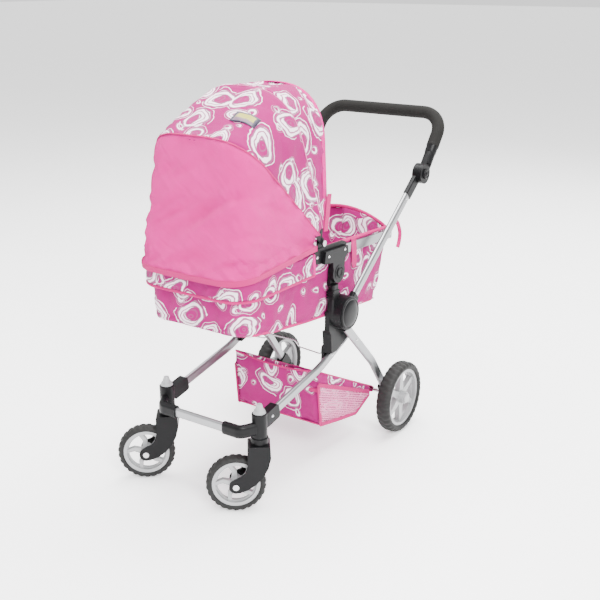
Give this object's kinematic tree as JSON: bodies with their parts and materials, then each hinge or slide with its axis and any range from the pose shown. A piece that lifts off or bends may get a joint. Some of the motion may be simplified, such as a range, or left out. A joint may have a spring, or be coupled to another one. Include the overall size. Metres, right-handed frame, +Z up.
{
  "type": "doll stroller",
  "caption": "Folding doll stroller with a hooded carrycot that tilts and lifts off, an adjustable push handle, swivel front casters, large rear wheels and a fabric basket.",
  "frame": {"origin": "middle of the bounding box at rest, at floor level under the chassis; both casters trail to the right at rest, so the stroller's mid-plane is at X = +0.0133", "axes": "+Z up, -Y the way the stroller travels, +Y towards the push handle, +X the stroller's left side"},
  "size_m": [0.3954, 0.7387, 0.8005],
  "materials": {
    "satin_aluminium": "satin",
    "black_plastic": "semi-gloss",
    "grey_cap_plastic": "translucent grey",
    "silver_grey_plastic": "silver-grey",
    "black_tyre": "matt",
    "steel": "bright",
    "foam": "fine closed-cell foam",
    "pink_print": "printed woven polyester",
    "pink_plain": "plain woven polyester",
    "white_plastic": "matt"
  },
  "bodies": {
    "chassis": {"front_cross_tube": "satin_aluminium", "front_leg_left": "satin_aluminium", "front_leg_right": "satin_aluminium", "elbow_bracket_left": "black_plastic", "elbow_bracket_right": "black_plastic", "stem_caps": "grey_cap_plastic", "hub_housing_left": "black_plastic", "hub_housing_right": "black_plastic", "frame_fasteners": "steel", "basket": "pink_print"},
    "fold_release": {"release_wire": "steel", "latch_sliders": "black_plastic"},
    "rear_legs": {"rear_discs": "black_plastic", "rear_leg_left": "satin_aluminium", "rear_leg_right": "satin_aluminium", "axle_lugs": "black_plastic", "rear_axle": "steel", "rear_leg_rivets": "steel"},
    "pusher": {"pusher_hubs": "black_plastic", "pusher_tube_left": "satin_aluminium", "pusher_tube_right": "satin_aluminium", "hub_caps": "black_plastic", "knuckle_lowers": "black_plastic", "pusher_fasteners": "steel"},
    "handlebar": {"knuckle_uppers": "black_plastic", "handlebar_tube": "steel", "foam_grip": "foam"},
    "seat_adapters": {"adapter_posts": "black_plastic"},
    "carrycot": {"tilt_brackets": "black_plastic", "cot_bar": "satin_aluminium", "cot_fasteners": "steel", "cot_shell": "pink_print", "cot_skirt": "pink_print", "cot_board": "pink_print", "bar_straps": "pink_plain", "hood_panel_front": "pink_plain"},
    "hood_front": {"hood_bow_front": "white_plastic", "hood_panel_middle": "pink_print"},
    "hood_middle": {"hood_bow_middle": "white_plastic", "hood_panel_rear": "pink_print"},
    "hood_rear": {"hood_bow_rear": "white_plastic"},
    "caster_left": {"caster_fork_left": "black_plastic", "caster_pins_left": "steel"},
    "front_wheel_left": {"caster_rim_left": "silver_grey_plastic", "caster_tyre_left": "black_tyre"},
    "rear_wheel_left": {"rear_rim_left": "silver_grey_plastic", "rear_tyre_left": "black_tyre", "rear_wheel_cap_left": "silver_grey_plastic"},
    "knuckle_button_left": {"knuckle_button_left": "black_plastic"},
    "tilt_button_left": {"tilt_button_left": "black_plastic"},
    "caster_right": {"caster_fork_right": "black_plastic", "caster_pins_right": "steel"},
    "front_wheel_right": {"caster_rim_right": "silver_grey_plastic", "caster_tyre_right": "black_tyre"},
    "rear_wheel_right": {"rear_rim_right": "silver_grey_plastic", "rear_tyre_right": "black_tyre", "rear_wheel_cap_right": "silver_grey_plastic"},
    "knuckle_button_right": {"knuckle_button_right": "black_plastic"},
    "tilt_button_right": {"tilt_button_right": "black_plastic"}
  },
  "joints": [
    {"name": "caster_swivel_left", "type": "hinge", "parent": "chassis", "child": "caster_left", "pos_m": [0.1232, -0.295, 0.175], "axis": [0, 0, 1], "continuous": true},
    {"name": "front_wheel_spin_left", "type": "hinge", "parent": "caster_left", "child": "front_wheel_left", "pos_m": [0.08616, -0.32394, 0.059], "axis": [0.6157, -0.788, 0], "continuous": true},
    {"name": "rear_wheel_spin_left", "type": "hinge", "parent": "rear_legs", "child": "rear_wheel_left", "pos_m": [0.1752, 0.164, 0.082], "axis": [1, 0, 0], "continuous": true},
    {"name": "knuckle_button_press_left", "type": "slide", "parent": "handlebar", "child": "knuckle_button_left", "axis": [-1, 0, 0], "range_m": [0, 0.003], "stiffness_N_per_m": 400, "springref_m": -0.002},
    {"name": "tilt_button_press_left", "type": "slide", "parent": "carrycot", "child": "tilt_button_left", "axis": [-1, 0, 0], "range_m": [0, 0.002], "stiffness_N_per_m": 400, "springref_m": -0.002},
    {"name": "caster_swivel_right", "type": "hinge", "parent": "chassis", "child": "caster_right", "pos_m": [-0.1108, -0.295, 0.175], "axis": [0, 0, 1], "continuous": true},
    {"name": "front_wheel_spin_right", "type": "hinge", "parent": "caster_right", "child": "front_wheel_right", "pos_m": [-0.14784, -0.32394, 0.059], "axis": [0.6157, -0.788, 0], "continuous": true},
    {"name": "rear_wheel_spin_right", "type": "hinge", "parent": "rear_legs", "child": "rear_wheel_right", "pos_m": [-0.1628, 0.164, 0.082], "axis": [1, 0, 0], "continuous": true},
    {"name": "knuckle_button_press_right", "type": "slide", "parent": "handlebar", "child": "knuckle_button_right", "axis": [1, 0, 0], "range_m": [0, 0.003], "stiffness_N_per_m": 400, "springref_m": -0.002},
    {"name": "tilt_button_press_right", "type": "slide", "parent": "carrycot", "child": "tilt_button_right", "axis": [1, 0, 0], "range_m": [0, 0.002], "stiffness_N_per_m": 400, "springref_m": -0.002},
    {"name": "pusher_fold", "type": "hinge", "parent": "chassis", "child": "pusher", "pos_m": [0.0062, -0.036, 0.338], "axis": [1, 0, 0], "range_deg": [0, 140]},
    {"name": "rear_leg_fold", "type": "hinge", "parent": "chassis", "child": "rear_legs", "pos_m": [0.0062, -0.036, 0.338], "axis": [1, 0, 0], "range_deg": [-50, 0]},
    {"name": "fold_release_lift", "type": "slide", "parent": "chassis", "child": "fold_release", "axis": [0, 0, 1], "range_m": [0, 0.01], "stiffness_N_per_m": 300, "springref_m": -0.004},
    {"name": "handlebar_adjust", "type": "hinge", "parent": "pusher", "child": "handlebar", "pos_m": [0.0062, 0.264, 0.577], "axis": [1, 0, 0], "range_deg": [-75, 15]},
    {"name": "carrycot_lift", "type": "slide", "parent": "chassis", "child": "seat_adapters", "axis": [0, 0, 1], "range_m": [0, 0.05]},
    {"name": "carrycot_tilt", "type": "hinge", "parent": "seat_adapters", "child": "carrycot", "pos_m": [0.0062, -0.047, 0.425], "axis": [1, 0, 0], "range_deg": [-15, 15]},
    {"name": "hood_fold", "type": "hinge", "parent": "carrycot", "child": "hood_front", "pos_m": [0.0062, -0.101, 0.497], "axis": [1, 0, 0], "range_deg": [0, 33], "deforming": ["hood_panel_front"]},
    {"name": "hood_middle_fold", "type": "hinge", "parent": "hood_front", "child": "hood_middle", "pos_m": [0.0062, -0.101, 0.497], "axis": [1, 0, 0], "range_deg": [0, 21]},
    {"name": "hood_rear_fold", "type": "hinge", "parent": "hood_middle", "child": "hood_rear", "pos_m": [0.0062, -0.101, 0.497], "axis": [1, 0, 0], "range_deg": [0, 15]}
  ],
  "couplings": [
    {"joint": "rear_leg_fold", "follows": "pusher_fold", "ratio": -0.35714},
    {"joint": "hood_middle_fold", "follows": "hood_fold", "ratio": 0.63636},
    {"joint": "hood_rear_fold", "follows": "hood_fold", "ratio": 0.45454}
  ]
}
